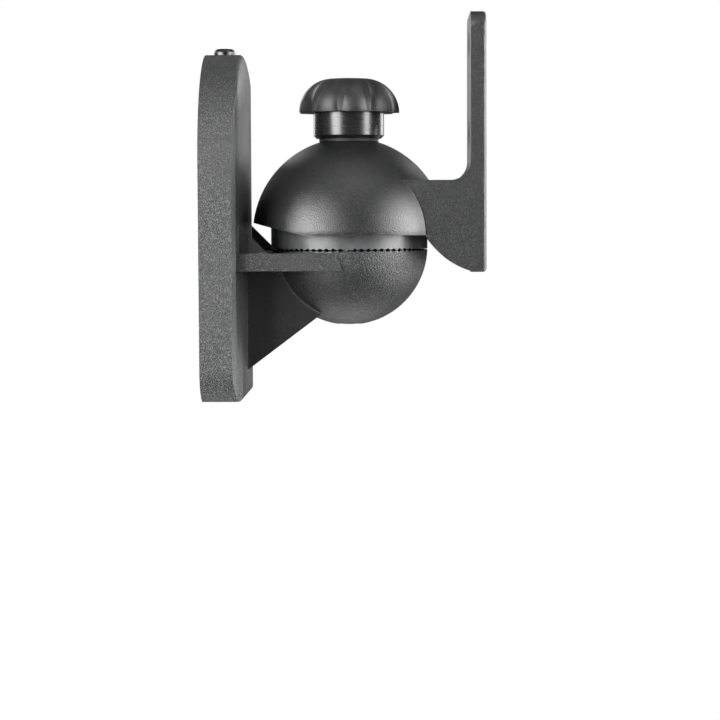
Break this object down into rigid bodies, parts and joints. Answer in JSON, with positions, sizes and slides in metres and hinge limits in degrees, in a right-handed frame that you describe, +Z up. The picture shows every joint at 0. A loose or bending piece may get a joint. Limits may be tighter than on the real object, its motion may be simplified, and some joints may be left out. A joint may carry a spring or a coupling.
{
  "type": "speaker wall bracket",
  "caption": "Wall bracket for a small speaker: a knob-clamped ball joint on a deep backplate, with a flat speaker plate that swivels and tilts.",
  "frame": {"origin": "centre of the back face that lies on the wall", "axes": "+X away from the wall, +Y across it, +Z up"},
  "size_m": [0.0813, 0.063, 0.1111],
  "materials": {
    "grained_plastic": "fine spark-eroded grain, satin",
    "fixing_plastic": "plain moulded",
    "core_plastic": "smooth satin",
    "washer_plastic": "smooth satin",
    "gloss_plastic": "polished",
    "knob_plastic": "semi-gloss",
    "screw_steel": "blackened, bright on its edges",
    "nut_steel": "zinc plated"
  },
  "bodies": {
    "wall_side": {"bracket": "grained_plastic", "fixing_plate": "fixing_plastic", "lock_screw": "screw_steel", "clamp_nut": "nut_steel"},
    "swivel": {"swivel_core": "core_plastic", "saddle_washer": "washer_plastic"},
    "arm": {"dome_arm": "grained_plastic"},
    "clamp": {"knob": "knob_plastic", "collar": "gloss_plastic", "clamp_stud": "nut_steel"}
  },
  "joints": [
    {"name": "swivel_turn", "type": "hinge", "parent": "wall_side", "child": "swivel", "pos_m": [0.0416, 0, -0.0026], "axis": [0, 0, 1], "range_deg": [-80, 80]},
    {"name": "arm_tilt", "type": "hinge", "parent": "swivel", "child": "arm", "pos_m": [0.0416, 0, -0.0026], "axis": [0, 1, 0], "range_deg": [-12, 10]},
    {"name": "knob_turn", "type": "hinge", "parent": "swivel", "child": "clamp", "pos_m": [0.0416, 0, -0.0026], "axis": [0, 0, 1], "range_deg": [0, 360]}
  ]
}
